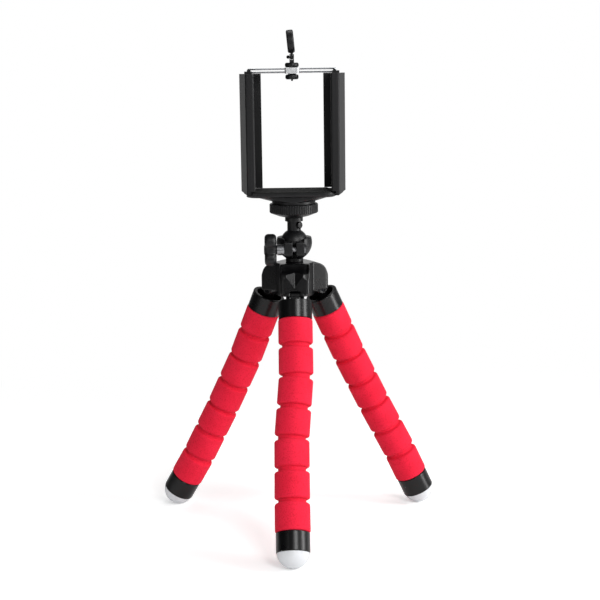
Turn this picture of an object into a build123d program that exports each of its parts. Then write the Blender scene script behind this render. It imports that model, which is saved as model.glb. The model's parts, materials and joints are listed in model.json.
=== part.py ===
from build123d import *
from math import radians, sin, sqrt
import os

# Phone tripod: three bendable foam legs hinged under a crown, a split-clamp ball head
# and a sprung clip for a phone. Millimetres, +Z up. The pieces are drawn with the feet on
# z = 0, the head's axis at x = y = 0, the clip opening along X and the front leg at -Y,
# and saved with the origin on the floor at the middle of the stance.

# Clearances
running_fit = 0.05
slide_gap = 0.15
soft_gap = 0.3
press_gap = 0.02

# Leg, measured along its axis from the hinge pin
foam_r = 9.1
foam_corner = 1.2
collar_length = 9.6
foam_start = 12.7
first_lobe = 14.5
lobe_pitch = 16.3
last_lobe = 16.1
lobe_count = 7
lobes_per_section = 2
groove_gap = 2.2
groove_floor_r = 7.2
knuckle_r = 6.6
knuckle_height = 5.0
core_r = 1.6
core_grip = 3.2
bend_swing = 15.5
collar_r = 8.9
collar_wall = 2.0
collar_plug = 4.0
collar_edge = 0.5
tongue_width = 5.0
tongue_half_depth = 2.2
hinge_hub_r = 2.4
hinge_pin_r = 1.0
ferrule_r = 8.7
ferrule_length = 10.3
ferrule_wall = 1.6
ferrule_floor = 3.4
ferrule_edge = 0.4
foot_r = 8.55
foot_sink = 1.0
foot_plug_length = 5.8
foot_flat = 0.15

# Crown
hinge_radius = 15.0
hinge_height = 128.4
crown_rise = 16.3
crown_core_r = 10.5
crown_core_drop = 1.6
lobe_reach = 17.2
lobe_width = 16.2
lobe_corner = 2.4
lobe_lift = 0.8
ear_thickness = 2.2
ear_r = 2.6
pin_recess = 0.3
dome_profile = [(8.5, 0.0), (12.5, 0.5), (15.2, 1.9), (17.0, 4.2), (18.0, 7.0), (18.4, 10.5)]
notch_apex_drop = 12.2
notch_slope = 22.0
notch_spread = 1.9
notch_rim = 0.9
scoop_r = 8.6
scoop_rise = 4.2
scoop_inset = 0.2
spigot_r = 3.0
spigot_length = 6.5
crown_screw_r = 1.5
crown_screw_head_r = 2.8
crown_screw_head_h = 2.2
crown_screw_grip = 3.5

# Ball head
neck_r = 4.75
ball_rise = 10.5
ball_r = 7.4
housing_r = 9.6
housing_rim = 3.0
rim_notch_drop = 1.5
block_half_width = 5.3
block_front = 13.3
block_back = 4.0
block_top = 2.6
block_bottom = 6.6
block_corner = 2.2
clamp_slot = 1.9
clamp_screw_r = 1.5
clamp_screw_offset = 10.0
clamp_screw_drop = 2.7
clamp_shaft_r = 2.9
nut_flats = 5.0
nut_thickness = 2.3
nut_proud = 0.7
screw_tip = 0.1
knob_near = 9.5
knob_thickness = 6.3
knob_lobe_r = 4.1
knob_lobe_offset = 4.5
knob_waist = 2.9
knob_waist_round = 0.8
knob_edge = 2.0
knob_hub_r = 2.3
knob_hub_proud = 0.4
knob_cap_proud = 0.3
knob_cap = 1.5
stem_r = 3.65
stem_length = 11.5
stem_collar_r = 4.8
stem_collar_height = 1.9
lug_r = 1.9
lug_pin_r = 0.9
lug_reach = 4.95
lug_rise = 9.5
lug_edge = 0.7
lug_azimuth = -45.0

# Locking disc and camera screw
disc_gap = 0.2
disc_r = 13.0
disc_height = 7.4
disc_rim = 5.0
disc_mid_r = 8.2
disc_mid_rise = 0.8
flute_count = 60
flute_r = 0.42
camera_screw_r = 3.1
camera_screw_depth = 1.6
camera_screw_reach = 3.9

# Phone clip
clip_depth = 24.4
boss_r = 11.6
boss_height = 1.2
tier_height = 2.7
tier_half_x = 20.0
tier_half_y = 11.6
tier_shift = -0.5
slab_half_x = 24.1
slab_half_y = 13.3
slab_height = 2.5
slab_corner = 7.0
slab_edge = 1.6
slab_shift = -1.3
base_pad_thickness = 0.5
base_pad_inset = 0.2
insert_r = 5.0
insert_height = 3.9
channel_half_width = 9.3
channel_height = 1.5
channel_floor = 0.55
jaw_sink = 0.8
jaw_height = 62.7
jaw_wall = 2.0
jaw_front_x = 24.35
jaw_back_x = 28.4
front_lip_x = 19.95
back_lip_x = 16.7
jaw_travel = 15.0
jaw_corner = 0.9
cap_edge_x = 20.4
jaw_pad_thickness = 1.5
jaw_pad_inset = 1.4
foot_plate_gap = 0.4
foot_narrow = 4.6
foot_step_x = 19.5
spring_r = 0.65
spring_bore_r = 0.35
spring_offset = 7.0

# Wire link over the clip
wire_r = 0.45
wire_pitch = 1.7
wire_rise = 0.65
wire_offset = 1.9
wire_end_x = 22.4
wire_overlap = 18.0
eye_pin_r = 0.3
eye_boss_r = 0.75
eye_block = (21.1, 25.0, 1.3)
eye_cheek = 0.8
guide_half = 3.8
guide_half_depth = 3.0
guide_margin = 0.25
spindle_r = 1.2
upper_disc_r = 3.65
upper_disc_height = 2.5
lower_disc_r = 3.5
lower_disc_height = 2.6
disc_edge = 1.0
lower_boss_r = 2.1
lower_boss_height = 0.4
nub_r = 0.5
nub_height = 0.8
clevis_height = 4.4
clevis_depth = 3.2
clevis_floor = 1.45
clevis_round = 1.2
tang_thickness = 1.4
tang_r = 1.35
ring_pin_r = 0.5
ring_pin_head_r = 0.9
ring_pin_drop = 1.5
ring_r = 6.0
ring_edge = 0.9
ring_bore_r = 3.1
ring_bore_rise = 0.4
ring_thickness = 3.8
ring_lean = 5.3
ring_rise = 0.6

# Each leg: hinge azimuth, then the set of its wire at each bend as (outward, sideways) degrees
legs = {
    "front": (-90.0, [(1.6, -4.7), (2.5, 4.4), (5.0, 0.5)]),
    "right": (30.0, [(-0.3, -5.4), (-0.6, -5.0), (-1.9, 1.9)]),
    "left": (150.0, [(1.7, 4.8), (0.4, 3.4), (4.3, -2.6)]),
}

# Heights and places that follow from the sizes above
crown_top = hinge_height + crown_rise
lobe_base = hinge_height + lobe_lift
ball_height = crown_top + ball_rise
clamp_height = ball_height - clamp_screw_drop
collar_top_height = ball_height + stem_length + stem_collar_height
disc_base_height = collar_top_height + disc_gap
disc_top_height = disc_base_height + disc_height
boss_height_z = disc_top_height + disc_gap
tier_base_height = boss_height_z + boss_height
slab_base_height = tier_base_height + tier_height
slab_top_height = slab_base_height + slab_height
pad_top_height = slab_top_height + base_pad_thickness
channel_base_height = slab_base_height + channel_floor
jaw_base_height = slab_top_height - jaw_sink
jaw_top_height = jaw_base_height + jaw_height
wire_low_height = jaw_top_height + wire_rise
wire_high_height = wire_low_height + wire_pitch
guide_base_height = wire_low_height - wire_r - guide_margin
guide_top_height = wire_high_height + wire_r + guide_margin
half_depth = clip_depth / 2
jaw_slant = (jaw_back_x - jaw_front_x) / clip_depth
groove_places = [foam_start + first_lobe + i * lobe_pitch for i in range(lobe_count - 1)]
foam_end = groove_places[-1] + last_lobe
bend_places = groove_places[lobes_per_section - 1::lobes_per_section]
foot_centre = foam_end + ferrule_length - foot_sink
lobe_azimuths = [azimuth for azimuth, bends in legs.values()]

os.makedirs("parts", exist_ok=True)


def save(name, shape):
    # Every piece is moved so that the middle of the stance, on the floor, is the origin
    placed = Pos(0, -stance_middle, 0) * shape
    placed.label = name
    export_step(placed, f"parts/{name}.step")


def rod(radius, bottom, top, x=0.0, y=0.0):
    return Pos(x, y, (bottom + top) / 2) * Cylinder(radius, top - bottom)


def rod_along_x(radius, start, end, y, z):
    return Pos((start + end) / 2, y, z) * Rot(0, 90, 0) * Cylinder(radius, end - start)


def rod_along_y(radius, start, end, x, z):
    return Pos(x, (start + end) / 2, z) * Rot(90, 0, 0) * Cylinder(radius, end - start)


def block(x0, x1, y0, y1, z0, z1):
    return Pos((x0 + x1) / 2, (y0 + y1) / 2, (z0 + z1) / 2) * Box(x1 - x0, y1 - y0, z1 - z0)


def turned(points):
    # A solid of revolution about Z from an outline of (radius, height) points
    return revolve(Plane.XZ * make_face(Polyline(points, close=True)), Axis.Z)


def prism(points, bottom, top):
    return Pos(0, 0, bottom) * extrude(make_face(Polyline(points, close=True)), top - bottom)


# Legs

def section_frames(azimuth, tilt, bends):
    # One frame per leg section: Z runs up the leg and X points outward. The first
    # frame's origin is on the hinge pin and each later one is at the centre of a bend.
    hinge = Rot(0, 0, azimuth) * Pos(hinge_radius, 0, hinge_height) * Rot(0, -tilt, 0)
    frames = [hinge]
    start = 0.0
    for place, (outward, sideways) in zip(bend_places, bends):
        step = Pos(0, 0, start - place) * Rot(0, -outward, 0) * Rot(sideways, 0, 0)
        frames.append(frames[-1] * step)
        start = place
    return frames


def foot_position(frames):
    return (frames[-1] * Pos(0, 0, bend_places[-1] - foot_centre)).position


def tilt_to_stand(azimuth, bends):
    # The hinge angle at which this leg's foot just meets the floor
    low, high = 0.0, 80.0
    for step in range(40):
        tilt = (low + high) / 2
        drop = foot_position(section_frames(azimuth, tilt, bends)).Z
        low, high = (tilt, high) if drop < foot_r - foot_flat else (low, tilt)
    return (low + high) / 2


def foam_lobe(top, bottom):
    lobe = rod(foam_r, bottom, top)
    return fillet(lobe.edges().filter_by(GeomType.CIRCLE), foam_corner)


def foam_section(index):
    # The lobes of one section, from its own bend down to just above the next one
    origin = 0.0 if index == 0 else bend_places[index - 1]
    last = index == len(bend_places)
    top = -foam_start if index == 0 else -groove_gap / 2
    end = foam_end if last else bend_places[index]
    bottom = origin - end if last else origin - end + groove_gap / 2
    inner = [origin - g for g in groove_places if origin + 0.1 < g < end - 0.1]
    edges = [top]
    for g in inner:
        edges += [g + groove_gap / 2, g - groove_gap / 2]
    edges.append(bottom)
    foam = rod(groove_floor_r, bottom, top)
    for upper, lower in zip(edges[::2], edges[1::2]):
        foam += foam_lobe(upper, lower)
    if index > 0:
        knuckle = Sphere(knuckle_r) & rod(knuckle_r, -knuckle_r, knuckle_height)
        foam += knuckle
        swing = sin(radians(bend_swing))
        throat = core_r + soft_gap
        foam -= turned([(0, -0.4), (throat, -0.4), (throat, 0),
                        (throat + swing * (knuckle_height + 1), knuckle_height + 1),
                        (0, knuckle_height + 1)])
    if not last:
        foam -= Pos(0, 0, origin - end) * Sphere(knuckle_r + soft_gap)
    foam -= rod(core_r + running_fit, bottom - 1, top + (0 if index == 0 else groove_gap / 2))
    return foam


def core_section(index):
    # The bendable wire, with a round end in each bend that turns in the next length's cup
    origin = 0.0 if index == 0 else bend_places[index - 1]
    last = index == len(bend_places)
    top = core_grip - foam_start if index == 0 else 0.0
    bottom = origin - foam_end - core_grip if last else origin - bend_places[index]
    core = rod(core_r, bottom, top)
    if not last:
        core += Pos(0, 0, bottom) * Sphere(core_r)
    if index > 0:
        core -= Sphere(core_r + running_fit)
    return core


def leg_collar():
    rim = collar_length - foam_start
    floor = collar_plug - foam_start
    shell = rod(collar_r, -foam_start, rim)
    shell -= rod(collar_r - collar_wall, floor, rim + 1)
    shell = fillet(shell.edges().filter_by(GeomType.CIRCLE).group_by(Axis.Z)[-1], collar_edge)
    tongue = block(-tongue_half_depth, tongue_half_depth, -tongue_width / 2, tongue_width / 2, floor, 0)
    hub = rod_along_y(hinge_hub_r, -tongue_width / 2, tongue_width / 2, 0, 0)
    shell += tongue + hub
    shell -= rod_along_y(hinge_pin_r + running_fit, -collar_r, collar_r, 0, 0)
    return shell - rod(core_r + running_fit, -foam_start - 1, core_grip - foam_start + running_fit)


def leg_ferrule():
    top = bend_places[-1] - foam_end
    bottom = top - ferrule_length
    cup = rod(ferrule_r, bottom, top)
    cup = fillet(cup.edges().filter_by(GeomType.CIRCLE), ferrule_edge)
    cup -= rod(ferrule_r - ferrule_wall, bottom - 1, top - ferrule_floor)
    return cup - rod(core_r + running_fit, top - core_grip - running_fit, top + 1)


def leg_foot():
    # A ball whose top is inside the ferrule, and a plug above it
    top = bend_places[-1] - foam_end - ferrule_length
    foot = Pos(0, 0, top + foot_sink) * Sphere(foot_r)
    foot &= block(-foot_r, foot_r, -foot_r, foot_r, top - 2 * foot_r, top)
    return foot + rod(ferrule_r - ferrule_wall - press_gap, top, top + foot_plug_length)


def save_leg(name, frames):
    save(f"{name}_leg_collar", frames[0] * leg_collar())
    for i, frame in enumerate(frames):
        save(f"{name}_leg_foam_{i + 1}", frame * foam_section(i))
        save(f"{name}_leg_core_{i + 1}", frame * core_section(i))
    save(f"{name}_leg_ferrule", frames[-1] * leg_ferrule())
    above_floor = block(-200, 200, -200, 200, 0, hinge_height)
    save(f"{name}_foot", (frames[-1] * leg_foot()) & above_floor)


# Crown

def dome():
    rim = [(r, crown_top - drop) for r, drop in dome_profile]
    outline = Polyline([(0, crown_top), rim[0]])
    outline += Spline(*rim, tangents=[(1, 0), (0, -1)])
    floor = hinge_height - 2 * ear_r
    outline += Polyline([rim[-1], (rim[-1][0], floor), (0, floor), (0, crown_top)])
    return revolve(Plane.XZ * make_face(outline), Axis.Z)


def crown_lobe(azimuth):
    turn = Rot(0, 0, azimuth)
    half = lobe_width / 2
    body = block(0, lobe_reach, -half, half, lobe_base, crown_top)
    outer = body.edges().filter_by(Axis.Z).group_by(Axis.X)[-1]
    body = fillet(outer, lobe_corner)
    slot_half = tongue_width / 2 + slide_gap
    for side in (-1, 1):
        inner, outer_y = side * slot_half, side * (slot_half + ear_thickness)
        y0, y1 = min(inner, outer_y), max(inner, outer_y)
        ear = rod_along_y(ear_r, y0, y1, hinge_radius, hinge_height)
        ear += block(hinge_radius - ear_r, hinge_radius + ear_r * 0.8, y0, y1, hinge_height, lobe_base + 1)
        body += ear
    return turn * body


def crown_cuts(azimuth):
    turn = Rot(0, 0, azimuth)
    slot_half = tongue_width / 2 + slide_gap
    slot = block(hinge_radius - hinge_hub_r - 1.2, lobe_reach + 2, -slot_half, slot_half,
                 hinge_height - 2 * ear_r, hinge_height + hinge_hub_r + slide_gap)
    pin_hole = rod_along_y(hinge_pin_r + press_gap, -slot_half - ear_thickness - 0.2,
                           slot_half + ear_thickness + 0.2, hinge_radius, hinge_height)
    # The V-shaped recess starts in a point on the lobe's face, leans in as it rises and
    # ends in a scoop as wide as the lobe's rims leave
    reach = lobe_reach
    notch = prism([(0, 0), (reach, -notch_spread * reach), (reach, notch_spread * reach)], 0, crown_rise)
    notch = Pos(lobe_reach, 0, crown_top - notch_apex_drop) * Rot(0, -notch_slope, 0) * notch
    half = lobe_width / 2 - notch_rim
    scoop = rod_along_y(scoop_r, -half, half, lobe_reach - scoop_inset, crown_top + scoop_rise)
    notch = (notch + scoop) & block(0, 2 * reach, -half, half, lobe_base, crown_top + 1)
    return [turn * slot, turn * pin_hole, turn * notch]


def crown():
    body = rod(crown_core_r, hinge_height - crown_core_drop, crown_top)
    for azimuth in lobe_azimuths:
        body += crown_lobe(azimuth)
    body &= dome()
    for azimuth in lobe_azimuths:
        for cut in crown_cuts(azimuth):
            body -= cut
    body -= rod(spigot_r + press_gap, crown_top - spigot_length - press_gap, crown_top + 1)
    body -= rod(crown_screw_r + press_gap, hinge_height - crown_core_drop - 1, crown_top)
    head_top = crown_top - spigot_length - crown_screw_grip
    return body - rod(crown_screw_head_r + slide_gap, hinge_height - crown_core_drop - 1, head_top)


def hinge_pins():
    half = tongue_width / 2 + slide_gap + ear_thickness - pin_recess
    pin = rod_along_y(hinge_pin_r, -half, half, hinge_radius, hinge_height)
    return Compound(children=[Rot(0, 0, azimuth) * pin for azimuth in lobe_azimuths])


def crown_screw():
    head_top = crown_top - spigot_length - crown_screw_grip
    screw = rod(crown_screw_r, head_top, crown_top - 1.0)
    return screw + rod(crown_screw_head_r, head_top - crown_screw_head_h, head_top)


# Ball head

def ball_housing():
    neck_top = ball_height - sqrt(housing_r ** 2 - neck_r ** 2)
    body = rod(neck_r, crown_top, neck_top + 1)
    body += Pos(0, 0, ball_height) * Sphere(housing_r)
    ears = block(-block_half_width, block_half_width, -block_front, -block_back,
                 ball_height - block_bottom, ball_height + block_top)
    front_edges = ears.edges().filter_by(Axis.X).group_by(Axis.Y)[0]
    body += fillet(front_edges, block_corner)
    body -= block(-20, 20, -block_back - 1, 20, ball_height + housing_rim, ball_height + 20)
    body -= block(-20, 20, -20, -block_back, ball_height + block_top, ball_height + 20)
    body -= Pos(0, 0, ball_height) * Sphere(ball_r + running_fit)
    mouth_r = sqrt((ball_r + running_fit) ** 2 - (housing_rim - rim_notch_drop) ** 2)
    body -= block(-mouth_r * 0.7, mouth_r * 0.7, -20, 0, ball_height + housing_rim - rim_notch_drop,
                  ball_height + 20)
    body -= block(-clamp_slot / 2, clamp_slot / 2, -20, -block_back, ball_height - block_bottom - 1,
                  ball_height + 20)
    body -= rod_along_x(clamp_screw_r + running_fit, -20, 20, -clamp_screw_offset, clamp_height)
    for side in (-1, 1):
        near, far = side * block_half_width, side * 20
        body -= rod_along_x(clamp_shaft_r + soft_gap, min(near, far), max(near, far),
                            -clamp_screw_offset, clamp_height)
    body -= clamp_nut_shape(nut_flats + 2 * press_gap, block_half_width + nut_proud - nut_thickness,
                            block_half_width + 5)
    body += rod(spigot_r, crown_top - spigot_length, crown_top)
    return body - rod(crown_screw_r + press_gap, crown_top - spigot_length - 1, crown_top - 1.0 + press_gap)


def clamp_nut_shape(flats, start, end):
    hexagon = RegularPolygon(flats / 2, 6, major_radius=False)
    nut = extrude(hexagon, end - start)
    return Pos(start, -clamp_screw_offset, clamp_height) * Rot(0, 90, 0) * nut


def clamp_nut():
    start = block_half_width + nut_proud - nut_thickness
    nut = clamp_nut_shape(nut_flats, start, start + nut_thickness)
    return nut - rod_along_x(clamp_screw_r + running_fit, start - 1, start + 5,
                             -clamp_screw_offset, clamp_height)


def clamp_screw():
    y, z = -clamp_screw_offset, clamp_height
    screw = rod_along_x(clamp_screw_r, knob_cap - knob_near - knob_thickness,
                        block_half_width + nut_proud + screw_tip, y, z)
    start, end = knob_hub_proud - knob_near, -block_half_width - slide_gap
    return screw + rod_along_x(clamp_shaft_r, start, end, y, z)


def thumb_knob():
    lobes = [Pos(0, s * knob_lobe_offset) * Circle(knob_lobe_r) for s in (-1, 1)]
    outline = lobes[0] + lobes[1] + Rectangle(2 * knob_waist, 2 * knob_lobe_offset)
    outline = fillet([v for v in outline.vertices() if abs(v.Y) < knob_lobe_offset], knob_waist_round)
    knob = extrude(outline, knob_thickness)
    knob = fillet(knob.faces().sort_by(Axis.Z)[0].edges(), knob_edge)
    knob = fillet(knob.faces().sort_by(Axis.Z)[-1].edges(), knob_edge)
    left, y, z = -knob_near - knob_thickness, -clamp_screw_offset, clamp_height
    knob = Pos(left, y, z) * Rot(90, 90, 0) * knob
    knob += rod_along_x(knob_hub_r, left - knob_cap_proud, knob_hub_proud - knob_near, y, z)
    return knob - rod_along_x(clamp_screw_r + press_gap, left + knob_cap - press_gap, 0, y, z)


def ball_stem():
    stem = rod(stem_r, ball_height + 4, ball_height + stem_length)
    stem += rod(stem_collar_r, ball_height + stem_length, collar_top_height)
    stem -= Pos(0, 0, ball_height) * Sphere(ball_r + running_fit)
    stem -= rod(camera_screw_r + press_gap, collar_top_height - camera_screw_depth - press_gap,
                collar_top_height + 1)
    pin_hole = rod_along_x(lug_pin_r + press_gap, -stem_r + 1, 2 * stem_r, 0, ball_height + lug_rise)
    return stem - Rot(0, 0, lug_azimuth) * pin_hole


def stem_lug():
    # The lug's flat root goes into the round stem, which is cut away from it
    lug = rod_along_x(lug_r, 0, lug_reach, 0, ball_height + lug_rise)
    lug = fillet(lug.edges().group_by(Axis.X)[-1], lug_edge)
    lug -= rod(stem_r, ball_height, collar_top_height)
    lug += rod_along_x(lug_pin_r, -stem_r + 1 + press_gap, stem_r, 0, ball_height + lug_rise)
    return Rot(0, 0, lug_azimuth) * lug


def locking_disc():
    base, top = disc_base_height, disc_top_height
    disc = turned([(0, base), (stem_collar_r, base), (disc_mid_r, base + disc_mid_rise),
                   (disc_r - 0.5, top - disc_rim), (disc_r, top - disc_rim + 0.5),
                   (disc_r, top - 0.4), (disc_r - 0.4, top), (0, top)])
    flutes = [Rot(0, 0, i * 360 / flute_count) * rod(flute_r, top - disc_rim, top + 1, disc_r + 0.12)
              for i in range(flute_count)]
    disc -= flutes
    return disc - rod(camera_screw_r + running_fit, base - 1, top + 1)


def camera_screw():
    return rod(camera_screw_r, collar_top_height - camera_screw_depth,
               disc_top_height + camera_screw_reach)


# Phone clip

def wall_x(y, inset=0.0):
    # The jaw's slanted outer wall: x of its outer face at depth y, moved in by an inset
    return jaw_front_x + (y + half_depth) * jaw_slant - inset


def both_sides(shape):
    return shape + mirror(shape, Plane.YZ)


def jaw_room(gap):
    # The space of the jaws' walls over the base's ends, open outward
    half, wall = half_depth + gap, jaw_wall + gap
    end = 2 * jaw_back_x
    room = prism([(wall_x(-half, wall), -half), (end, -half), (end, half), (wall_x(half, wall), half)],
                 jaw_base_height - slide_gap, jaw_top_height)
    return both_sides(room)


def lip_room():
    # What lies under the jaws' lips and inner pads, which the phone's ledge stays clear of
    inner, outer = half_depth - jaw_wall - soft_gap, half_depth + soft_gap
    end, wall = 2 * jaw_back_x, jaw_wall + jaw_pad_thickness + soft_gap
    room = block(front_lip_x - soft_gap, end, -outer, -inner, slab_base_height, jaw_top_height)
    room += block(back_lip_x - soft_gap, end, inner, outer, slab_base_height, jaw_top_height)
    room += prism([(wall_x(-inner, wall), -inner), (end, -inner), (end, inner),
                   (wall_x(inner, wall), inner)], slab_base_height, jaw_top_height)
    return both_sides(room)


def clip_base():
    slab = Pos(slab_shift, 0, 0) * block(-slab_half_x, slab_half_x, -slab_half_y, slab_half_y,
                                         slab_base_height, slab_top_height)
    slab = fillet(slab.edges().filter_by(Axis.Z), slab_corner)
    slab = fillet(slab.faces().sort_by(Axis.Z)[0].edges(), slab_edge) - jaw_room(slide_gap)
    tier = loft([Pos(0, 0, tier_base_height) * RectangleRounded(2 * boss_r, 2 * boss_r, boss_r - 0.1),
                 Pos(tier_shift, 0, slab_base_height) * RectangleRounded(2 * tier_half_x, 2 * tier_half_y,
                                                                         slab_corner)])
    shell = slab + tier + rod(boss_r, boss_height_z, tier_base_height)
    shell -= block(-2 * jaw_back_x, 2 * jaw_back_x, -channel_half_width, channel_half_width,
                   channel_base_height, channel_base_height + channel_height)
    return shell - rod(insert_r + press_gap, boss_height_z - 1, boss_height_z + insert_height + press_gap)


def clip_base_pad():
    half_x, half_y = slab_half_x - base_pad_inset, slab_half_y - base_pad_inset
    pad = Pos(slab_shift, 0, 0) * block(-half_x, half_x, -half_y, half_y, slab_top_height, pad_top_height)
    pad = fillet(pad.edges().filter_by(Axis.Z), slab_corner - base_pad_inset)
    return pad - lip_room()


def screw_insert():
    bottom = boss_height_z
    insert = rod(insert_r, bottom, bottom + insert_height)
    return insert - rod(camera_screw_r + running_fit, bottom - 1, bottom + insert_height + 1)


def jaw():
    # The right-hand jaw: a channel that opens inward, with a foot that slides in the base
    inner_front, inner_back = -half_depth + jaw_wall, half_depth - jaw_wall
    outline = [(front_lip_x, -half_depth), (jaw_front_x, -half_depth), (jaw_back_x, half_depth),
               (back_lip_x, half_depth), (back_lip_x, inner_back),
               (wall_x(inner_back, jaw_wall), inner_back),
               (wall_x(inner_front, jaw_wall), inner_front), (front_lip_x, inner_front)]
    body = prism(outline, jaw_base_height, jaw_top_height)
    outer = [e for e in body.edges().filter_by(Axis.Z) if abs(abs(e.center().Y) - half_depth) < 0.01]
    body = fillet(outer, jaw_corner)
    clear = pad_top_height + soft_gap
    for front, back in ((-half_depth - 1, inner_front), (inner_back, half_depth + 1)):
        body -= prism([(0, front), (wall_x(front, jaw_wall), front), (wall_x(back, jaw_wall), back),
                       (0, back)], jaw_base_height - 1, clear)
    cap = prism([(cap_edge_x, inner_front - 0.5), (wall_x(inner_front, 1), inner_front - 0.5),
                 (wall_x(inner_back, 1), inner_back + 0.5), (cap_edge_x, inner_back + 0.5)],
                jaw_top_height - jaw_wall, jaw_top_height)
    body += cap
    low = channel_base_height + slide_gap
    high = channel_base_height + channel_height - slide_gap
    wide = channel_half_width - slide_gap
    foot = block(insert_r + foot_plate_gap, foot_step_x, -foot_narrow, foot_narrow, low, high)
    plate = prism([(foot_step_x, -wide), (wall_x(-wide, 1), -wide), (wall_x(wide, 1), wide),
                   (foot_step_x, wide)], low, high)
    return body + foot + plate


def jaw_with_eye(wire_y):
    x0, x1, height = eye_block
    eye_height = (wire_low_height + wire_high_height) / 2
    body = jaw()
    for side in (-1, 1):
        near = wire_y + side * (wire_r + slide_gap)
        far = near + side * eye_cheek
        y0, y1 = min(near, far), max(near, far)
        body += block(x0, x1, y0, y1, jaw_top_height, jaw_top_height + height)
        body += rod_along_y(eye_boss_r, y0, y1, wire_end_x, eye_height)
        body += block(wire_end_x - eye_boss_r, wire_end_x + eye_boss_r, y0, y1, jaw_top_height, eye_height)
    span = wire_r + slide_gap + eye_cheek / 2
    return body + rod_along_y(eye_pin_r, wire_y - span, wire_y + span, wire_end_x, eye_height)


def jaw_pad():
    inner_front = -half_depth + jaw_wall + jaw_pad_inset
    inner_back = half_depth - jaw_wall - jaw_pad_inset
    near, far = jaw_wall, jaw_wall + jaw_pad_thickness
    return prism([(wall_x(inner_front, far), inner_front), (wall_x(inner_front, near), inner_front),
                  (wall_x(inner_back, near), inner_back), (wall_x(inner_back, far), inner_back)],
                 pad_top_height + 1.5, jaw_top_height - jaw_wall - jaw_pad_inset)


def jaw_springs():
    z = channel_base_height + channel_height / 2
    springs = []
    for side in (-1, 1):
        y = side * spring_offset
        tube = rod_along_x(spring_r, -foot_step_x + slide_gap, foot_step_x - slide_gap, y, z)
        springs.append(tube - rod_along_x(spring_bore_r, -foot_step_x, foot_step_x, y, z))
    return Compound(children=springs)


# Wire link

def wire_loop():
    # The right-hand hairpin at y = 0: closed round the jaw's eye, free ends past the guide
    bend = wire_pitch / 2
    mid = (wire_low_height + wire_high_height) / 2
    path = Line((-wire_overlap, 0, wire_low_height), (wire_end_x, 0, wire_low_height))
    path += ThreePointArc((wire_end_x, 0, wire_low_height), (wire_end_x + bend, 0, mid),
                          (wire_end_x, 0, wire_high_height))
    path += Line((wire_end_x, 0, wire_high_height), (-wire_overlap, 0, wire_high_height))
    section = Plane(origin=(-wire_overlap, 0, wire_low_height), z_dir=(1, 0, 0)) * Circle(wire_r)
    return sweep(section, path)


def link_guide():
    guide = block(-guide_half, guide_half, -guide_half_depth, guide_half_depth,
                  guide_base_height, guide_top_height)
    guide = fillet(guide.edges().filter_by(Axis.Z), 1.0)
    for y in (-wire_offset, wire_offset):
        for z in (wire_low_height, wire_high_height):
            guide -= rod_along_x(wire_r + running_fit, -10, 10, y, z)
    return guide - rod(spindle_r + running_fit, guide_base_height - 1, guide_top_height + 1)


upper_disc_base = guide_top_height + running_fit
clevis_base = upper_disc_base + upper_disc_height
clevis_top = clevis_base + clevis_height
ring_pin_height = clevis_top - ring_pin_drop
lower_disc_top = guide_base_height - running_fit - lower_boss_height


def link_spindle():
    disc = rod(upper_disc_r, upper_disc_base, clevis_base)
    disc = fillet(disc.edges().filter_by(GeomType.CIRCLE), disc_edge)
    nut_base = lower_disc_top - lower_disc_height
    body = disc + rod(spindle_r, nut_base, upper_disc_base)
    body += rod(nub_r, nut_base - nub_height, nut_base)
    clevis = block(-spindle_r, spindle_r, -clevis_depth / 2, clevis_depth / 2,
                   upper_disc_base, clevis_top)
    clevis = fillet(clevis.edges().filter_by(Axis.X).group_by(Axis.Z)[-1], clevis_round)
    body += clevis
    slot = tang_thickness / 2 + running_fit
    body -= block(-slot, slot, -5, 5, clevis_base + clevis_floor, clevis_top + 1)
    return body - rod_along_x(ring_pin_r + running_fit, -5, 5, 0, ring_pin_height)


def spindle_nut():
    disc = rod(lower_disc_r, lower_disc_top - lower_disc_height, lower_disc_top)
    disc = fillet(disc.edges().filter_by(GeomType.CIRCLE), disc_edge)
    nut = disc + rod(lower_boss_r, lower_disc_top - 0.5, lower_disc_top + lower_boss_height)
    return nut - rod(spindle_r + press_gap, lower_disc_top - lower_disc_height - 1, lower_disc_top + 1)


def lanyard_ring():
    centre = clevis_top + ring_rise + ring_r
    disc = rod_along_x(ring_r, -ring_thickness / 2, ring_thickness / 2, 0, centre)
    disc = fillet(disc.edges().filter_by(GeomType.CIRCLE), ring_edge)
    bore = rod_along_x(ring_bore_r, -5, 5, 0, centre + ring_bore_rise)
    ring = Pos(0, 0, clevis_top) * Rot(0, -ring_lean, 0) * Pos(0, 0, -clevis_top) * (disc - bore)
    half = tang_thickness / 2
    tang = rod_along_x(tang_r, -half, half, 0, ring_pin_height)
    tang += block(-half, half, -tang_r, tang_r, ring_pin_height, clevis_top + ring_rise + ring_edge)
    return ring + tang - rod_along_x(ring_pin_r + running_fit, -5, 5, 0, ring_pin_height)


def ring_pin():
    pin = rod_along_x(ring_pin_r, -spindle_r, spindle_r, 0, ring_pin_height)
    return pin + Pos(-spindle_r - ring_pin_head_r * 0.8, 0, ring_pin_height) * (
        Sphere(ring_pin_head_r) & block(-5, ring_pin_head_r * 0.8, -5, 5, -5, 5))


def save_head():
    save("crown", crown())
    save("leg_hinge_pins", hinge_pins())
    save("crown_screw", crown_screw())
    save("ball_housing", ball_housing())
    save("clamp_nut", clamp_nut())
    save("clamp_screw", clamp_screw())
    save("thumb_knob", thumb_knob())
    save("ball", Pos(0, 0, ball_height) * Sphere(ball_r))
    save("ball_stem", ball_stem())
    save("stem_lug", stem_lug())
    save("camera_screw", camera_screw())
    save("locking_disc", locking_disc())


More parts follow.
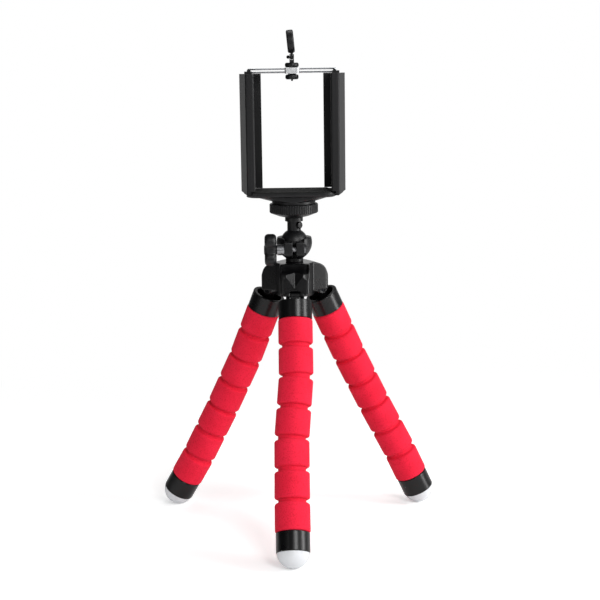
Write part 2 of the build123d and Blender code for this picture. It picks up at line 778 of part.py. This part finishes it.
def save_clip():
    save("clip_base", clip_base())
    save("clip_base_pad", clip_base_pad())
    save("screw_insert", screw_insert())
    save("jaw_springs", jaw_springs())
    save("right_jaw", jaw_with_eye(wire_offset))
    save("left_jaw", mirror(jaw_with_eye(-wire_offset), Plane.YZ))
    save("right_jaw_pad", jaw_pad())
    save("left_jaw_pad", mirror(jaw_pad(), Plane.YZ))
    save("right_link_wire", Pos(0, wire_offset, 0) * wire_loop())
    save("left_link_wire", Pos(0, -wire_offset, 0) * mirror(wire_loop(), Plane.YZ))
    save("link_guide", link_guide())
    save("link_spindle", link_spindle())
    save("spindle_nut", spindle_nut())
    save("lanyard_ring", lanyard_ring())
    save("ring_pin", ring_pin())


leg_frames = {name: section_frames(azimuth, tilt_to_stand(azimuth, bends), bends)
              for name, (azimuth, bends) in legs.items()}
foot_ys = [foot_position(frames).Y for frames in leg_frames.values()]
stance_middle = (min(foot_ys) + max(foot_ys)) / 2
for leg_name, frames in leg_frames.items():
    save_leg(leg_name, frames)
save_head()
save_clip()
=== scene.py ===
import json
import math
import bmesh
import bpy
from mathutils import Matrix, Vector


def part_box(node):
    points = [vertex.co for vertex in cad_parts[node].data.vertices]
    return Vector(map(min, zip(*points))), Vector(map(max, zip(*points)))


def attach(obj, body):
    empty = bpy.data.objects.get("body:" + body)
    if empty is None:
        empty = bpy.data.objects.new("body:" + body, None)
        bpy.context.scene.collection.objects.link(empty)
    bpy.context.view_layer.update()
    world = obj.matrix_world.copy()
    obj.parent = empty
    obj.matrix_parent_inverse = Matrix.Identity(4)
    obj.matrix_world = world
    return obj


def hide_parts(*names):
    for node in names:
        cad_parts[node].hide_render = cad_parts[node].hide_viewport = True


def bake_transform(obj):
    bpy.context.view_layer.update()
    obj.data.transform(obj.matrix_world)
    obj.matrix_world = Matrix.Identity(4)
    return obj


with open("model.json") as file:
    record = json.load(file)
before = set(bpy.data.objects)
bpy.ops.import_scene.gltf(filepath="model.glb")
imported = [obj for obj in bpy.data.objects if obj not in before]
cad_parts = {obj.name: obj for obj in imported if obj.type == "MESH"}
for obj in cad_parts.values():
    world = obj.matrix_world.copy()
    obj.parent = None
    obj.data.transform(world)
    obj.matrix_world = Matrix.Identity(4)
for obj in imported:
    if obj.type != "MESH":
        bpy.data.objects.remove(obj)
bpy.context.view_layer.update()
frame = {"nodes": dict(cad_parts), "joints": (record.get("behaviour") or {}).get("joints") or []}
mm = 0.001
legNames = ("front", "right", "left")
print("frame loaded:", len(frame["nodes"]), "CAD nodes")


# Helpers

def srgb(hexText):
    channels = [int(hexText[i:i + 2], 16) / 255 for i in (1, 3, 5)]
    linear = [c / 12.92 if c <= 0.04045 else ((c + 0.055) / 1.055) ** 2.4 for c in channels]
    return (*linear, 1.0)


def addNode(tree, kind, links=None, stops=(), **settings):
    # Adds one shader node. A setting is a property or, written with _ for a space, a socket's value.
    node = tree.nodes.new(kind)
    for key, value in settings.items():
        if hasattr(node, key):
            setattr(node, key, value)
        else:
            node.inputs[key.replace("_", " ")].default_value = value
    for i, (position, tone) in enumerate(stops):      # the stops of a colour ramp
        node.color_ramp.elements[i].position = position
        node.color_ramp.elements[i].color = srgb(tone)
    for socket, source in (links or {}).items():
        tree.links.new(source, node.inputs[socket])
    return node


def blankMaterial(name, **settings):
    # A material with a shader alone, whose sockets start at the settings
    material = bpy.data.materials.new(name)
    material.use_nodes = True
    tree = material.node_tree
    tree.nodes.clear()
    shader = addNode(tree, "ShaderNodeBsdfPrincipled", **settings)
    addNode(tree, "ShaderNodeOutputMaterial", {"Surface": shader.outputs["BSDF"]})
    coords = addNode(tree, "ShaderNodeTexCoord").outputs["Object"]
    return material, tree, shader, coords


def grain(tree, coords, sizeMm, detail=3.0, roughness=0.6, stretch=(1, 1, 1)):
    # Noise whose cells are about sizeMm across on the real surface
    scaled = addNode(tree, "ShaderNodeVectorMath", {0: coords}, operation="MULTIPLY")
    scaled.inputs[1].default_value = stretch
    return addNode(tree, "ShaderNodeTexNoise", {"Vector": scaled.outputs[0]},
                   Scale=1000 / sizeMm, Detail=detail, Roughness=roughness).outputs["Fac"]


def applyPattern(tree, shader, pattern, tones=None, spread=(0.35, 0.65), roughness=None,
                 depthMm=None, strength=1.0):
    # The pattern picks between two tones and two roughnesses and raises the surface, where these are given
    if tones:
        tone = addNode(tree, "ShaderNodeValToRGB", {"Fac": pattern}, stops=zip(spread, tones))
        tree.links.new(tone.outputs["Color"], shader.inputs["Base Color"])
    if roughness:
        shine = addNode(tree, "ShaderNodeMapRange", {"Value": pattern},
                        To_Min=roughness[0], To_Max=roughness[1])
        tree.links.new(shine.outputs["Result"], shader.inputs["Roughness"])
    if depthMm:
        relief = addNode(tree, "ShaderNodeBump", {"Height": pattern}, Strength=strength,
                         Distance=depthMm * mm)
        tree.links.new(relief.outputs["Normal"], shader.inputs["Normal"])


def setFinish(piece, material):
    piece.data.materials.clear()
    piece.data.materials.append(material)


# Materials

def evaFoam():
    # Closed-cell EVA foam, skived and dyed through: matt, with a fine open-pored skin.
    # Its cells are 0.2 mm and are drawn coarser, so that they show.
    material, tree, shader, coords = blankMaterial(
        "redEvaFoam", Roughness=0.82, Specular_IOR_Level=0.2, Sheen_Weight=0.06, Sheen_Roughness=0.5,
        Sheen_Tint=srgb("#FF6A86"))
    pores = grain(tree, coords, sizeMm=0.8, detail=4.0, roughness=0.75)
    mottle = grain(tree, coords, sizeMm=14.0, detail=2.0)
    dye = addNode(tree, "ShaderNodeValToRGB", {"Fac": mottle}, stops=((0.3, "#DE1936"), (0.7, "#E8203E")))
    # Painted shade: the dye is darker in the pits of the pores, where the bump below sinks the surface
    shade = addNode(tree, "ShaderNodeValToRGB", {"Fac": pores}, stops=((0.3, "#B5112A"), (0.5, "#FFFFFF")))
    colour = addNode(tree, "ShaderNodeMix", {6: dye.outputs["Color"], 7: shade.outputs["Color"]},
                     data_type="RGBA", blend_type="MULTIPLY")
    colour.inputs[0].default_value = 0.5      # how much the painted shade in the pits of the pores darkens the dye
    tree.links.new(colour.outputs[2], shader.inputs["Base Color"])
    applyPattern(tree, shader, pores, depthMm=0.16, strength=0.7)
    return material


def glossAbs():
    # Black ABS moulded in a polished mould: deep black, with long soft-edged highlights
    material, tree, shader, coords = blankMaterial("glossBlackAbs", IOR=1.53, Specular_IOR_Level=0.34)
    flow = grain(tree, coords, sizeMm=9.0, detail=2.0)
    applyPattern(tree, shader, flow, tones=("#040405", "#060607"), roughness=(0.25, 0.31),
                 depthMm=0.05, strength=0.25)
    return material


def satinAbs():
    # Black ABS from a spark-eroded mould: a fine even texture that breaks up the shine.
    # The texture is about 0.1 mm and is drawn coarser, so that it shows.
    material, tree, shader, coords = blankMaterial("satinBlackAbs", IOR=1.53, Specular_IOR_Level=0.36)
    spark = grain(tree, coords, sizeMm=0.35, detail=3.0, roughness=0.65)
    broad = grain(tree, coords, sizeMm=7.0, detail=2.0)
    applyPattern(tree, shader, broad, tones=("#08080A", "#0C0C0E"), roughness=(0.36, 0.46))
    applyPattern(tree, shader, spark, depthMm=0.03, strength=0.5)
    return material


def drawnAbs():
    # The jaws: satin ABS with fine upright draw marks from the mould, drawn wider than they are to show
    material, tree, shader, coords = blankMaterial("drawMarkedBlackAbs", IOR=1.53, Specular_IOR_Level=0.32)
    marks = grain(tree, coords, sizeMm=0.8, detail=2.0, roughness=0.6, stretch=(1, 1, 0.02))
    applyPattern(tree, shader, marks, tones=("#08080A", "#0E0E10"), spread=(0.3, 0.7),
                 roughness=(0.42, 0.58), depthMm=0.06, strength=0.5)
    return material


def spongeRubber():
    # Thin black sponge rubber glued where the phone touches: dull, with open pores
    material, tree, shader, coords = blankMaterial("blackSpongeRubber", Roughness=0.92,
                                                   Specular_IOR_Level=0.25)
    pores = grain(tree, coords, sizeMm=0.5, detail=4.0, roughness=0.75)
    # Painted shade: the tone is darker in the pits of the pores, where the bump sinks, and lighter on the
    # tops between them
    applyPattern(tree, shader, pores, tones=("#0E0E0E", "#222221"), spread=(0.3, 0.7),
                 depthMm=0.15, strength=0.8)
    return material


def milkySilicone():
    # Moulded silicone rubber with a little white pigment: milky, light goes into it at the rim
    material, tree, shader, coords = blankMaterial(
        "milkySiliconeRubber", IOR=1.41, Subsurface_Weight=0.35, Subsurface_Radius=(1.0, 0.95, 0.9),
        Subsurface_Scale=2.5 * mm)
    haze = grain(tree, coords, sizeMm=5.0, detail=2.0)
    applyPattern(tree, shader, haze, tones=("#D6D8DB", "#DCDEE1"), roughness=(0.38, 0.5),
                 depthMm=0.05, strength=0.2)
    return material


def metal(name, low, high, roughness, marksMm, stretch=(1, 1, 1)):
    # A metal between two tones, with faint marks of the way it was made. They are drawn wider
    # than they are, so that they show, and make it a fifth smoother to a quarter rougher.
    material, tree, shader, coords = blankMaterial(name, Metallic=1.0)
    marks = grain(tree, coords, marksMm, detail=3.0, stretch=stretch)
    applyPattern(tree, shader, marks, tones=(low, high), roughness=(roughness * 0.8, roughness * 1.25),
                 depthMm=0.02, strength=0.3)
    return material


foamMaterial = evaFoam()
glossMaterial = glossAbs()
satinMaterial = satinAbs()
jawMaterial = drawnAbs()
padMaterial = spongeRubber()
footMaterial = milkySilicone()
# Drawn wire with bright nickel over it: nearly a mirror
nickelMaterial = metal("brightNickelledSteelWire", "#B4B7BB", "#C6C9CC", 0.16, marksMm=2.0)
# A die casting with satin chrome: pale and evenly bright
chromeMaterial = metal("satinChromedZinc", "#DCDDDF", "#E8E9EA", 0.44, marksMm=3.0)
# Pins blackened in a hot bath: dark, with a dull sheen
blackenedMaterial = metal("blackenedSteel", "#17181A", "#222326", 0.36, marksMm=1.2)
# Screws and nuts with plain zinc: grey, a little cloudy
zincMaterial = metal("zincPlatedSteel", "#8C8D90", "#A9AAAC", 0.34, marksMm=1.2)
# Soft wire inside the legs, drawn along its length
coreMaterial = metal("annealedAluminiumWire", "#9A9B9D", "#B4B5B6", 0.42, marksMm=1.0, stretch=(1, 1, 0.1))
# The turned bush: yellow, with fine rings from the lathe
brassMaterial = metal("turnedBrass", "#A98A4E", "#C4A564", 0.3, marksMm=0.6, stretch=(1, 1, 4))
print("materials made")

nodeFinish = {
    "crown": glossMaterial,
    "leg_hinge_pins": blackenedMaterial,
    "crown_screw": zincMaterial,
    "ball_housing": satinMaterial,
    "clamp_nut": zincMaterial,
    "thumb_knob": satinMaterial,
    "clamp_screw": zincMaterial,
    "ball": satinMaterial,
    "ball_stem": satinMaterial,
    "stem_lug": glossMaterial,
    "camera_screw": zincMaterial,
    "locking_disc": satinMaterial,
    "clip_base": satinMaterial,
    "screw_insert": brassMaterial,
    "jaw_springs": zincMaterial,
    "link_guide": chromeMaterial,
    "left_jaw": jawMaterial,
    "right_jaw": jawMaterial,
    "left_link_wire": nickelMaterial,
    "right_link_wire": nickelMaterial,
    "link_spindle": satinMaterial,
    "spindle_nut": satinMaterial,
    "lanyard_ring": satinMaterial,
    "ring_pin": blackenedMaterial,
}
for leg in legNames:
    nodeFinish[leg + "_leg_collar"] = glossMaterial
    nodeFinish[leg + "_leg_ferrule"] = glossMaterial
    nodeFinish[leg + "_foot"] = footMaterial
    for number in range(1, 5):
        nodeFinish[f"{leg}_leg_core_{number}"] = coreMaterial
for name, material in nodeFinish.items():
    setFinish(frame["nodes"][name], material)


# Foam sleeves: one closed-cell tube per leg with turned grooves, drawn as rings down the leg

foamSleeve = {       # lengths in mm, places measured down the leg from its hinge
    "radius": 9.1,
    "start": 12.7,
    "firstGroove": 27.2,
    "groovePitch": 16.3,
    "grooveCount": 6,
    "end": 124.8,
    "grooveRadius": 7.3,
    "grooveHalf": 1.05,      # half width of the groove's floor
    "grooveSag": 0.12,       # how far the floor sinks in its middle
    "shoulder": 1.3,         # length of the rounding from floor to full radius
    "shoulderSteps": 9,
    "bulge": 0.9,            # under 1 the rounding is fuller than an ellipse
    "boreRadius": 1.72,
    "ringSpacing": 1.6,
    "blendHalf": 2.2,        # how far from the bend's centre the foam starts to turn
    "segments": 72,
}
grooves = [foamSleeve["firstGroove"] + foamSleeve["groovePitch"] * i
           for i in range(foamSleeve["grooveCount"])]
sectionStarts = [0.0] + grooves[1::2]      # the hinge, then each groove that moves


def shoulderPoints(base, direction):
    # The rounding from a groove's floor, or a sleeve's end, up to full radius: (distance, radius) pairs
    s = foamSleeve
    points = []
    for i in range(s["shoulderSteps"] + 1):
        a = math.pi / 2 * i / s["shoulderSteps"]
        along = 1 - math.cos(a) ** s["bulge"]
        height = math.sin(a) ** s["bulge"]
        points.append((base + direction * s["shoulder"] * along,
                       s["grooveRadius"] + (s["radius"] - s["grooveRadius"]) * height))
    return points


def sleeveProfile(start, end):
    # (distance down the leg, radius) pairs between two distances
    s = foamSleeve
    full = [(s["start"], s["boreRadius"])] + shoulderPoints(s["start"], 1)
    for g in grooves:
        full += reversed(shoulderPoints(g - s["grooveHalf"], -1))
        full.append((g, s["grooveRadius"] - s["grooveSag"]))
        full += shoulderPoints(g + s["grooveHalf"], 1)
    full += reversed(shoulderPoints(s["end"], -1))
    full.append((s["end"], s["boreRadius"]))
    slack = 1e-6
    inside = [p for p in full if start - slack <= p[0] <= end + slack]
    if start > s["start"]:
        inside = [(start, s["radius"])] + inside
    if end < s["end"]:
        inside = inside + [(end, s["radius"])]
    dense = [inside[0]]
    for a, b in zip(inside, inside[1:]):     # long flats get extra rings for the bend
        count = max(1, int(abs(b[0] - a[0]) / s["ringSpacing"]))
        dense += [(a[0] + (b[0] - a[0]) * k / count, a[1] + (b[1] - a[1]) * k / count)
                  for k in range(1, count + 1)]
    if start > s["start"]:
        dense = [(start, s["boreRadius"])] + dense
    if end < s["end"]:
        dense = dense + [(end, s["boreRadius"])]
    return dense


def legFrames(leg):
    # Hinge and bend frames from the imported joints: Z up the leg, X outward
    joints = {j["name"]: j for j in frame["joints"]}
    spread = joints[leg + "_leg_spread"]
    bends = [joints[f"{leg}_leg_bend_{i}"] for i in (1, 2, 3)]
    low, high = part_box(leg + "_leg_ferrule")
    places = [Vector(spread["pos_m"])] + [Vector(b["pos_m"]) for b in bends] + [(low + high) / 2]
    sideways = [-Vector(spread["axis"])] + [Vector(b["axis"]) for b in bends]
    frames = []
    for origin, below, y in zip(places, places[1:], sideways):
        z = (origin - below).normalized()
        x = y.cross(z).normalized()
        frames.append(Matrix.Translation(origin) @ Matrix((x, z.cross(x), z)).transposed().to_4x4())
    return frames


def ringWeights(distance, section, bend):
    # How much each length of the leg, counted from 0, carries the ring at this distance down it
    if bend is None:
        return [(section - 1, 1.0)]
    turn = (distance - sectionStarts[bend]) / (2 * foamSleeve["grooveHalf"]) + 0.5
    turn = min(1.0, max(0.0, turn))
    turn = turn * turn * (3 - 2 * turn)
    return [(bend - 1, 1 - turn), (bend, turn)]


def sleevePiece(name, frames, start, end, section, bend):
    # bend: number of the moving groove inside this piece, or None
    mesh = bpy.data.meshes.new(name)
    bm = bmesh.new()
    rings = []
    turns = foamSleeve["segments"]
    for distance, radius in sleeveProfile(start, end):
        weights = ringWeights(distance, section, bend)
        ring = []
        for k in range(turns):
            a = 2 * math.pi * k / turns
            x, y = radius * math.cos(a), radius * math.sin(a)
            point = Vector((0, 0, 0))
            for carrier, weight in weights:
                local = Vector((x, y, sectionStarts[carrier] - distance)) * mm
                point += weight * (frames[carrier] @ local)
            ring.append(bm.verts.new(point))
        rings.append(ring)
    for upper, lower in zip(rings, rings[1:] + rings[:1]):      # the last one closes the bore
        for k in range(turns):
            n = (k + 1) % turns
            bm.faces.new((upper[k], lower[k], lower[n], upper[n])).smooth = True
    for ring in (rings[0], rings[1], rings[-2], rings[-1]):
        for k in range(turns):
            bm.edges.get((ring[k], ring[(k + 1) % turns])).smooth = False
    bm.to_mesh(mesh)
    bm.free()
    piece = bpy.data.objects.new(mesh.name, mesh)
    bpy.context.scene.collection.objects.link(piece)
    setFinish(piece, foamMaterial)
    return piece


def makeSleeve(leg):
    # Seven pieces, cut where the foam is thick; every second one spans a moving groove and is shaped to
    # turn across it, from one length's frame to the next
    frames = legFrames(leg)
    edges = grooves + [foamSleeve["end"]]
    middles = [(a + b) / 2 for a, b in zip(edges, edges[1:])]
    cuts = [foamSleeve["start"]] + middles + [foamSleeve["end"]]
    for i, (start, end) in enumerate(zip(cuts, cuts[1:])):
        section = i // 2 + 1
        bend = section if i % 2 else None
        piece = sleevePiece(f"{leg}Foam{i + 1}", frames, start, end, section, bend)
        if bend is None:
            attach(piece, f"{leg}_leg_{section}")
            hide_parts(f"{leg}_leg_foam_{section}")
        else:
            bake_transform(piece)
            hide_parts(f"{leg}_leg_foam_{bend + 1}")


for leg in legNames:
    makeSleeve(leg)
print("foam sleeves made")


# Sponge rubber: the ledge's grip sheet and the liners of the jaws

spongePads = {       # edge: its rounding in mm
    "clip_base_pad": {"name": "ledgeGripSheet", "body": "clip", "edge": 0.18},
    "left_jaw_pad": {"name": "leftJawLiner", "body": "left_jaw", "edge": 0.5},
    "right_jaw_pad": {"name": "rightJawLiner", "body": "right_jaw", "edge": 0.5},
}


def roundEdges(piece, radiusMm, segments=3, smallestTurn=35):
    # Rounds each edge at which the surface turns by more than smallestTurn degrees
    for polygon in piece.data.polygons:
        polygon.use_smooth = True
    rounding = piece.modifiers.new("rounding", "BEVEL")
    rounding.width = radiusMm * mm
    rounding.segments = segments
    rounding.limit_method = "ANGLE"
    rounding.angle_limit = math.radians(smallestTurn)
    rounding.use_clamp_overlap = True


for node, pad in spongePads.items():
    mesh = frame["nodes"][node].data.copy()
    piece = bpy.data.objects.new(pad["name"], mesh)
    bpy.context.scene.collection.objects.link(piece)
    setFinish(piece, padMaterial)
    roundEdges(piece, pad["edge"], segments=4)
    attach(piece, pad["body"])
    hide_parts(node)
print("sponge rubber pads made")


# Moulded pieces: the edges that a mould or tumbling leaves

softEdges = {       # radius in mm
    "left_jaw": 0.3,
    "right_jaw": 0.3,
    "ball_stem": 0.25,
    "link_guide": 0.25,
    "clip_base": 0.5,
}
meltedForms = {       # voxel size in mm, and how many times the surface is relaxed
    "crown": (0.28, 8),
    "ball_housing": (0.22, 8),
    "thumb_knob": (0.2, 4),
    "lanyard_ring": (0.16, 6),
}


def meltEdges(piece, voxelMm, passes, factor=0.5):
    # Rounds a form with many small edges: it is skinned anew and the skin relaxed
    skin = piece.modifiers.new("skin", "REMESH")
    skin.mode = "VOXEL"
    skin.voxel_size = voxelMm * mm
    skin.use_smooth_shade = True
    relax = piece.modifiers.new("relax", "SMOOTH")
    relax.factor = factor
    relax.iterations = passes


for name, radius in softEdges.items():
    roundEdges(frame["nodes"][name], radius)
for name, (voxel, passes) in meltedForms.items():
    meltEdges(frame["nodes"][name], voxel, passes)
print("moulded edges rounded")


# Studio

studio = {       # lengths in metres
    "floorSize": 1.1,
    "floorDrop": 0.0002,     # keeps the paper just under the feet
    "paperColour": "#F6F6F6",
    "paperLift": 0.35,       # how much the paper near the feet is lifted for the camera
    "whiteFrom": 0.12,       # how far from the middle the paper starts to turn plain white
    "whiteFull": 0.42,       # and how far out it is plain white
    "worldDiffuse": 0.36,    # the room's plain light on surfaces, reflections aside
    "roomLeft": 0.03,        # how bright gloss and metal see the room on the left
    "roomRight": 0.36,       # and on the right
    "backdropFrom": 0.8,     # how far back a reflection has to point to meet the backdrop
    "lamps": {      # place, width and height, watts
        "rightKey": ((0.74, -0.16, 0.3), (0.22, 0.8), 5.0),
        "leftStrip": ((-0.44, -0.6, 0.22), (0.05, 0.5), 0.42),
        "frontFill": ((0.46, -1.0, 0.72), (0.4, 0.5), 7.2),
        "overheadBank": ((0.1, 0.25, 0.9), (0.5, 0.3), 1.6),
    },
    "aim": (0, 0, 0.12),
}
# The lens, height and pitch that the stance and the bows of the foam rings give
productView = {
    "sensorMm": 36.0,
    "lensMm": 78.66,
    "shift": 0.0082,
    "nearClip": 0.05,
    "distance": 0.7,         # metres from the ball's axis
    "height": 0.2506,
    "pitchDegrees": 10.29,
    "rollDegrees": -0.8,
}


def makeFloor():
    mesh = bpy.data.meshes.new("floorPlane")
    bm = bmesh.new()
    bmesh.ops.create_grid(bm, x_segments=1, y_segments=1, size=studio["floorSize"] / 2)
    bm.to_mesh(mesh)
    bm.free()
    floor = bpy.data.objects.new("floorPlane", mesh)
    floor.location = (0, 0, -studio["floorDrop"])
    bpy.context.scene.collection.objects.link(floor)
    # Matt white paper: an even pale floor that takes a soft shadow
    material, tree, shader, coords = blankMaterial("whitePaperSweep", Roughness=0.9,
                                                   Base_Color=srgb(studio["paperColour"]))
    # Seen by the camera, the paper is lifted towards plain white, wholly so away from the feet
    path = addNode(tree, "ShaderNodeLightPath")
    reach = addNode(tree, "ShaderNodeVectorMath", {0: coords}, operation="LENGTH").outputs["Value"]
    fade = addNode(tree, "ShaderNodeMapRange", {"Value": reach}, From_Min=studio["whiteFrom"],
                   From_Max=studio["whiteFull"], interpolation_type="SMOOTHSTEP").outputs["Result"]
    lift = addNode(tree, "ShaderNodeEmission", Strength=studio["paperLift"])
    white = addNode(tree, "ShaderNodeEmission", Strength=1.0)
    near = addNode(tree, "ShaderNodeAddShader", {0: shader.outputs[0], 1: lift.outputs[0]})
    seen = addNode(tree, "ShaderNodeMixShader", {0: fade, 1: near.outputs[0], 2: white.outputs[0]})
    whole = addNode(tree, "ShaderNodeMixShader", {0: path.outputs["Is Camera Ray"], 1: shader.outputs[0],
                                                  2: seen.outputs[0]})
    output = next(n for n in tree.nodes if n.type == "OUTPUT_MATERIAL")
    tree.links.new(whole.outputs[0], output.inputs["Surface"])
    setFinish(floor, material)


def makeWorld():
    world = bpy.data.worlds.new("studioWorld")
    world.use_nodes = True
    tree = world.node_tree
    tree.nodes.clear()
    # Gloss and metal see the white backdrop behind the object, and a dim room on the camera's side
    path = addNode(tree, "ShaderNodeLightPath")
    direction = addNode(tree, "ShaderNodeTexCoord").outputs["Generated"]
    axes = addNode(tree, "ShaderNodeSeparateXYZ", {"Vector": direction})
    room = addNode(tree, "ShaderNodeMapRange", {"Value": axes.outputs["X"]},
                   From_Min=-1.0, To_Min=studio["roomLeft"], To_Max=studio["roomRight"]).outputs["Result"]
    backdrop = addNode(tree, "ShaderNodeMapRange", {"Value": axes.outputs["Y"], "To Min": room},
                       From_Min=studio["backdropFrom"], From_Max=1.0, To_Max=1.0,
                       interpolation_type="SMOOTHSTEP").outputs["Result"]
    mirrored = addNode(tree, "ShaderNodeMath", {0: path.outputs["Is Glossy Ray"],
                                                1: path.outputs["Is Transmission Ray"]}, operation="ADD")
    level = addNode(tree, "ShaderNodeMapRange", {"Value": mirrored.outputs[0], "To Max": backdrop},
                    To_Min=studio["worldDiffuse"]).outputs["Result"]
    soft = addNode(tree, "ShaderNodeBackground", {"Strength": level}, Color=(1, 1, 1, 1))
    bright = addNode(tree, "ShaderNodeBackground", Strength=1.0, Color=(1, 1, 1, 1))
    mixed = addNode(tree, "ShaderNodeMixShader", {0: path.outputs["Is Camera Ray"], 1: soft.outputs[0],
                                                  2: bright.outputs[0]})
    output = addNode(tree, "ShaderNodeOutputWorld")
    tree.links.new(mixed.outputs[0], output.inputs["Surface"])
    bpy.context.scene.world = world


def makeLamp(name, place, size, watts):
    data = bpy.data.lights.new(name, "AREA")
    data.shape = "RECTANGLE"
    data.size, data.size_y = size
    data.energy = watts
    lamp = bpy.data.objects.new(name, data)
    lamp.location = place
    lamp.rotation_euler = (Vector(studio["aim"]) - Vector(place)).to_track_quat("-Z", "Y").to_euler()
    bpy.context.scene.collection.objects.link(lamp)


def makeCamera():
    low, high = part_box("ball")
    headY = (low.y + high.y) / 2
    data = bpy.data.cameras.new("productCamera")
    data.sensor_width = productView["sensorMm"]
    data.lens = productView["lensMm"]
    data.shift_x = productView["shift"]
    data.clip_start = productView["nearClip"]
    camera = bpy.data.objects.new("productCamera", data)
    camera.rotation_mode = "QUATERNION"
    place = Vector((0, headY - productView["distance"], productView["height"]))
    tip = Matrix.Rotation(math.pi / 2 - math.radians(productView["pitchDegrees"]), 4, "X")
    roll = Matrix.Rotation(math.radians(productView["rollDegrees"]), 4, "Z")
    camera.matrix_world = Matrix.Translation(place) @ tip @ roll
    bpy.context.scene.collection.objects.link(camera)
    bpy.context.scene.camera = camera


makeFloor()
makeWorld()
for name, (place, size, watts) in studio["lamps"].items():
    makeLamp(name, place, size, watts)
makeCamera()
bpy.context.scene.view_settings.view_transform = "Standard"
print("studio and camera made")
